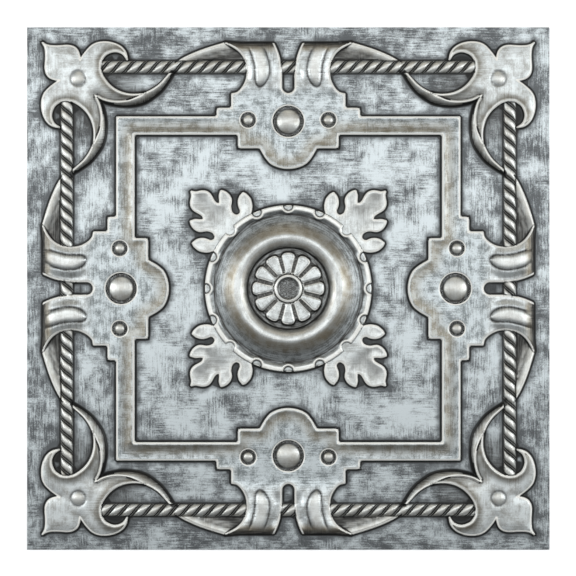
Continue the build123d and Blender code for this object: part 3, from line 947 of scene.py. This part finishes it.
sheet = bpy.data.meshes.new("formed_sheet")
sheet.from_pydata(
    (np.vstack([face_corners, back_corners]) * MM).tolist(), [],
    face_triangles.tolist() + back_quads.tolist() + edge_quads.tolist(),
)
back_faces = len(back_quads) + len(edge_quads)
slots = np.concatenate([np.zeros(len(face_triangles), int), np.ones(back_faces, int)])
sheet.polygons.foreach_set("material_index", slots)
sheet.shade_smooth()
sheet.set_sharp_from_angle(angle=math.radians(48))
triangles = len(face_triangles) + 2 * back_faces
print(f"sheet: {len(sheet.vertices)} corners, {triangles} triangles")

# %% Hand the paint its measures
outwards = np.maximum(np.abs(face.x), np.abs(face.y))
inner_field = np.select([outwards < STRAP_INNER, outwards < ROPE_LINE], [1.0, 0.5], 0.0)
beside = np.where(np.abs(face.x) > np.abs(face.y), 1.0, 0.0)
measures = {
    "lip": face.lip,
    "foot": face.foot(),
    "hollow": face.hollow,
    "crest": face.crest,
    "smooth": face.smooth,
    "warm": face.warm,
    "raised": face.raised,
    "inner_field": inner_field,
    "upright_strokes": np.where(inner_field > 0.7, 0.5, beside),
}
for name, values in measures.items():
    attribute = sheet.attributes.new(name, "FLOAT", "POINT")
    attribute.data.foreach_set("value", np.concatenate([values, np.zeros(len(back_corners))]))
tile = bpy.data.objects.new("ceiling_tile_sheet", sheet)
bpy.context.collection.objects.link(tile)
print("paint measures:", ", ".join(measures))

# %% [markdown]
# ## Shader arithmetic
#
# A material is a net of nodes, and a sum in it takes a node for every plus and times. The small
# class below wraps one socket, so that the sums read as sums. Every other node is made by its one
# method: the kind of node, its settings, then what goes into its sockets.

# %% A wire that can be added and multiplied
class Wire:
    """One socket of a material."""

    def __init__(self, tree, socket=None):
        self.tree = tree
        self.socket = socket

    def node(self, kind, settings=(), inputs=(), output=0):
        """Adds a node, sets it up, links or fills its sockets, and gives one of its outputs."""
        made = self.tree.nodes.new(kind)
        for name, value in dict(settings).items():
            setattr(made, name, value)
        for name, value in dict(inputs).items():
            if isinstance(value, Wire):
                self.tree.links.new(value.socket, made.inputs[name])
            else:
                made.inputs[name].default_value = value
        return Wire(self.tree, made.outputs[output])

    def sum(self, operation, first, second):
        return self.node("ShaderNodeMath", {"operation": operation}, {0: first, 1: second})

    def __add__(self, other):
        return self.sum("ADD", self, other)

    def __radd__(self, other):
        return self.sum("ADD", other, self)

    def __sub__(self, other):
        return self.sum("SUBTRACT", self, other)

    def __rsub__(self, other):
        return self.sum("SUBTRACT", other, self)

    def __mul__(self, other):
        return self.sum("MULTIPLY", self, other)

    def __rmul__(self, other):
        return self.sum("MULTIPLY", other, self)

    def eased(self, low, high):
        """Rises smoothly from 0 at low to 1 at high."""
        settings = {"interpolation_type": "SMOOTHSTEP"}
        return self.node("ShaderNodeMapRange", settings, {0: self, 1: low, 2: high, 3: 0.0, 4: 1.0})

    def tinted(self, without, with_it):
        """Mixes two colours by this value."""
        settings = {"data_type": "RGBA", "clamp_factor": True}
        return self.node("ShaderNodeMix", settings, {0: self, 6: without, 7: with_it}, 2)

    def scaled(self, by):
        """Stretches a place, so that a pattern on it shrinks or grows."""
        return self.node("ShaderNodeVectorMath", {"operation": "MULTIPLY"}, {0: self, 1: by})

    def noise(self, detail=4.0, roughness=0.55):
        """Cloudy noise whose lumps are one unit across."""
        inputs = {"Vector": self, "Scale": 1.0, "Detail": detail, "Roughness": roughness}
        return self.node("ShaderNodeTexNoise", {"noise_dimensions": "2D"}, inputs)

    def measure(self, name):
        """One of the mesh's own measures."""
        return self.node("ShaderNodeAttribute", {"attribute_name": name}, (), "Fac")


def new_material(name):
    """An empty material: a starting wire, its shader node, and the material itself."""
    material = bpy.data.materials.new(name)
    material.use_nodes = True
    return Wire(material.node_tree), material.node_tree.nodes["Principled BSDF"], material


def colour(code):
    """A colour given as red, green and blue out of 255, as light."""
    parts = [part / 255 for part in code]
    light = [part / 12.92 if part < 0.04045 else ((part + 0.055) / 1.055) ** 2.4 for part in parts]
    return (*light, 1.0)


# %% [markdown]
# ## The dry-brushed finish
#
# The painter sprays the sheet charcoal, then drags an almost dry brush of silver over it. The
# brush covers the open fields in streaks, misses the corners under the walls, and loads every lip
# with a bright line. Dark wash stays in the grooves. The colour also carries painted shade in
# grooves and recesses, painted highlights on crowns and domes, and a painted brown shade on slopes
# and folds. So the colour is built coat by coat, from noise stretched into strokes and from the
# measures that the mesh carries.

# %% Brush strokes
brush, painted_shader, painted = new_material("dry_brushed_silver")
millimetres = 1 / MM
place = brush.node("ShaderNodeTexCoord", (), (), "Object").scaled((millimetres,) * 3)
STROKE_LENGTH = 20.0
STROKE_WIDTH = 1.6
level_strokes = place.scaled((1 / STROKE_LENGTH, 1 / STROKE_WIDTH, 0)).noise(5, 0.6)
upright_strokes = place.scaled((1 / STROKE_WIDTH, 1 / STROKE_LENGTH, 0)).noise(5, 0.6)
patches = place.scaled((1 / 42, 1 / 42, 0)).noise(3, 0.55)
blotches = place.scaled((1 / 12, 1 / 12, 0)).noise(5, 0.6)
turning = place.scaled((1 / 38, 1 / 52, 0)).noise(2, 0.5)
grit = place.scaled((1 / 1.6, 1 / 1.6, 0)).noise(2, 0.6)
upright = (brush.measure("upright_strokes") + (turning - 0.5) * 4.0).eased(0.2, 0.8)
strokes = level_strokes * (1 - upright) + upright_strokes * upright

# %% [markdown]
# Round the medallion the brush went in circles. Strokes along a circle come from noise over the
# radius and the angle. Taking the angle without its sign leaves no seam where the circle closes.

# %% Strokes that go round
axis_x = brush.node("ShaderNodeSeparateXYZ", (), {0: place}, 0)
axis_y = brush.node("ShaderNodeSeparateXYZ", (), {0: place}, 1)
angle = brush.sum("ARCTAN2", axis_y, axis_x)
angle = brush.node("ShaderNodeMath", {"operation": "ABSOLUTE"}, {0: angle})
from_centre = brush.node("ShaderNodeMath", {"operation": "SQRT"}, {0: axis_x * axis_x + axis_y * axis_y})
round_place = brush.node("ShaderNodeCombineXYZ", (), {0: angle * 4.5, 1: from_centre * (1 / STROKE_WIDTH)})
round_strokes = round_place.noise(4, 0.6)
on_medallion = 1 - from_centre.eased(92, 96)
strokes = strokes * (1 - on_medallion) + round_strokes * on_medallion

# %% The open fields
CHARCOAL = colour((94, 97, 99))
SILVER = colour((206, 213, 215))
foot = brush.measure("foot")
inner = brush.measure("inner_field")
reached = (foot + (blotches - 0.5) * 9.0).eased(0.5, 8.5)
load = (patches - 0.5) * 1.5 + (blotches - 0.5) * 1.2 + (strokes - 0.5) * 1.4 + (grit - 0.5) * 0.8
coverage = (load + inner * 0.22 + 0.38).eased(-0.04, 0.94) * (reached * 0.85 + 0.15)
field_colour = coverage.tinted(CHARCOAL, SILVER)

# %% The raised work
SLATE = colour((128, 134, 135))
GREY = colour((158, 157, 152))
PALE = colour((224, 229, 229))
SHADE_BROWN = colour((150, 138, 115))
mottle = ((blotches - 0.5) * 2.2 + (strokes - 0.5) * 1.5 + (grit - 0.5) * 1.1 + 0.6).eased(0.0, 1.0)
plate_colour = mottle.tinted(SLATE, SILVER)
wiped = ((blotches - 0.5) * 1.5 + (strokes - 0.5) * 0.8 + (grit - 0.5) * 0.5 + 0.6).eased(0.0, 1.0)
wiped_colour = wiped.tinted(GREY, PALE)
worked = brush.measure("smooth").tinted(plate_colour, wiped_colour)
# Painted brown shade: brown where the warm measure is high, on the slopes and folds that a warm light
# would brown.
brown_shade = brush.measure("warm") * (1 - (blotches - 0.5) * 1.2) * 0.7
brown_shaded = brown_shade.tinted(worked, SHADE_BROWN)
surface = brush.measure("raised").tinted(field_colour, brown_shaded)

# %% Wash and painted shade in the grooves, silver on the lips
WASH_AND_SHADE = colour((64, 63, 61))
BRIGHT = colour((252, 251, 245))
BLACK = colour((36, 36, 35))
lip = brush.measure("lip")
hollow = brush.measure("hollow")
raised = brush.measure("raised")
# Dark wash and painted shade, as deep as the hollow measure says, broken up by the strokes; above one the
# darkest lines go near black.
wash_and_shade = hollow * (1.1 - hollow * 0.1) * (1 - (strokes - 0.5) * 1.3)
washed_and_shaded = wash_and_shade.tinted(surface, WASH_AND_SHADE)
deepest = ((hollow - 1) * 3).tinted(washed_and_shaded, BLACK)
# Dry-brushed silver and a painted highlight on what stands proud.
rubbed_and_highlit = (brush.measure("crest") * 0.75).tinted(deepest, BRIGHT)
bright_line = lip.eased(-1.1, -0.6) * (1 - lip.eased(0.7, 1.6)) * raised.eased(0.6, 0.95)
lined = bright_line.tinted(rubbed_and_highlit, BRIGHT)
shadow_line = 1 - (1 - (0 - lip).eased(0.9, 1.5) * raised.eased(0.2, 0.6)) * foot.eased(0.55, 2.0)
finished = (shadow_line * 0.93).tinted(lined, BLACK)

# %% Sheen and brush marks
tree = painted.node_tree
tree.links.new(finished.socket, painted_shader.inputs["Base Color"])
roughness = 0.48 - coverage * 0.08
tree.links.new(roughness.socket, painted_shader.inputs["Roughness"])
marks = strokes * 0.6 + grit * 0.4
bump = brush.node("ShaderNodeBump", (), {"Height": marks, "Strength": 0.2, "Distance": 0.0006})
tree.links.new(bump.socket, painted_shader.inputs["Normal"])
metallic = 0.7 - bright_line * 0.68
tree.links.new(metallic.socket, painted_shader.inputs["Metallic"])

# %% [markdown]
# The back was never painted. It is plain plastic, a little glossy, with the faint mottling of a
# sheet that was heated and drawn.

# %% The bare back
bare, bare_shader, bare_plastic = new_material("bare_plastic_back")
back_place = bare.node("ShaderNodeTexCoord", (), (), "Object").scaled((millimetres,) * 3)
drawn = back_place.scaled((1 / 22, 1 / 22, 0)).noise(4, 0.6)
back_colour = drawn.eased(0.3, 0.7).tinted(colour((88, 90, 92)), colour((104, 107, 109)))
bare_tree = bare_plastic.node_tree
bare_tree.links.new(back_colour.socket, bare_shader.inputs["Base Color"])
back_roughness = 0.38 + drawn * 0.2
bare_tree.links.new(back_roughness.socket, bare_shader.inputs["Roughness"])
sheet.materials.append(painted)
sheet.materials.append(bare_plastic)
print("materials:", [material.name for material in sheet.materials])

# %% [markdown]
# ## Light and floor
#
# Flat work is copied with a soft light on each side, so that walls on the left and right are lit
# alike. A weaker warm light from above browns the slopes that face it. The floor is a plain pale
# board that shows as white.

# %% Soft lights
def soft_light(name, place, size, power, tint):
    """A rectangular soft light that looks at the middle of the tile."""
    data = bpy.data.lights.new(name, "AREA")
    data.shape = "RECTANGLE"
    data.size, data.size_y = size
    data.energy = power
    data.color = tint
    light = bpy.data.objects.new(name, data)
    light.location = place
    light.rotation_euler = (-Vector(place)).to_track_quat("-Z", "Y").to_euler()
    bpy.context.collection.objects.link(light)


COOL = (0.96, 0.985, 1.0)
WARM = (1.0, 0.88, 0.68)
soft_light("overhead_softbox", (0.0, 0.42, 2.88), (2.4, 1.1), 22.5, COOL)
soft_light("left_softbox", (-1.15, 0.15, 0.9), (0.6, 1.0), 9.5, COOL)
soft_light("right_softbox", (1.15, 0.15, 0.9), (0.6, 1.0), 9.5, COOL)
soft_light("warm_wall", (0.0, 1.5, 1.1), (1.4, 0.6), 3.0, WARM)
world = bpy.data.worlds.new("studio")
world.use_nodes = True
world.node_tree.nodes["Background"].inputs["Color"].default_value = (0.95, 0.98, 1.0, 1.0)
world.node_tree.nodes["Background"].inputs["Strength"].default_value = 0.08
bpy.context.scene.world = world
bpy.context.scene.view_settings.view_transform = "Standard"

# %% The pale floor
FLOOR_HALF = 3.0
floor_mesh = bpy.data.meshes.new("pale_floor")
floor_mesh.from_pydata(
    [(-FLOOR_HALF, -FLOOR_HALF, 0), (FLOOR_HALF, -FLOOR_HALF, 0),
     (FLOOR_HALF, FLOOR_HALF, 0), (-FLOOR_HALF, FLOOR_HALF, 0)], [], [(0, 1, 2, 3)],
)
floor = bpy.data.objects.new("pale_floor", floor_mesh)
floor.location.z = -0.0004
bpy.context.collection.objects.link(floor)
board, board_shader, board_paint = new_material("pale_board")
board_place = board.node("ShaderNodeTexCoord", (), (), "Object")
board_tone = board_place.scaled((3, 3, 0)).noise(2, 0.5)
board_colour = board_tone.tinted(colour((246, 246, 246)), colour((250, 250, 250)))
board_paint.node_tree.links.new(board_colour.socket, board_shader.inputs["Base Color"])
board_shader.inputs["Roughness"].default_value = 0.9
board_shader.inputs["Emission Color"].default_value = (1.0, 1.0, 1.0, 1.0)
board_shader.inputs["Emission Strength"].default_value = 0.4
floor_mesh.materials.append(board_paint)

# %% [markdown]
# ## Hand over
#
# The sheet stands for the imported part, moves with its only body, and takes its finish from the
# part's one material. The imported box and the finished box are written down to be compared.

# %% Hand the tile over
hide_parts("ceiling_tile")
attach(tile, "root")
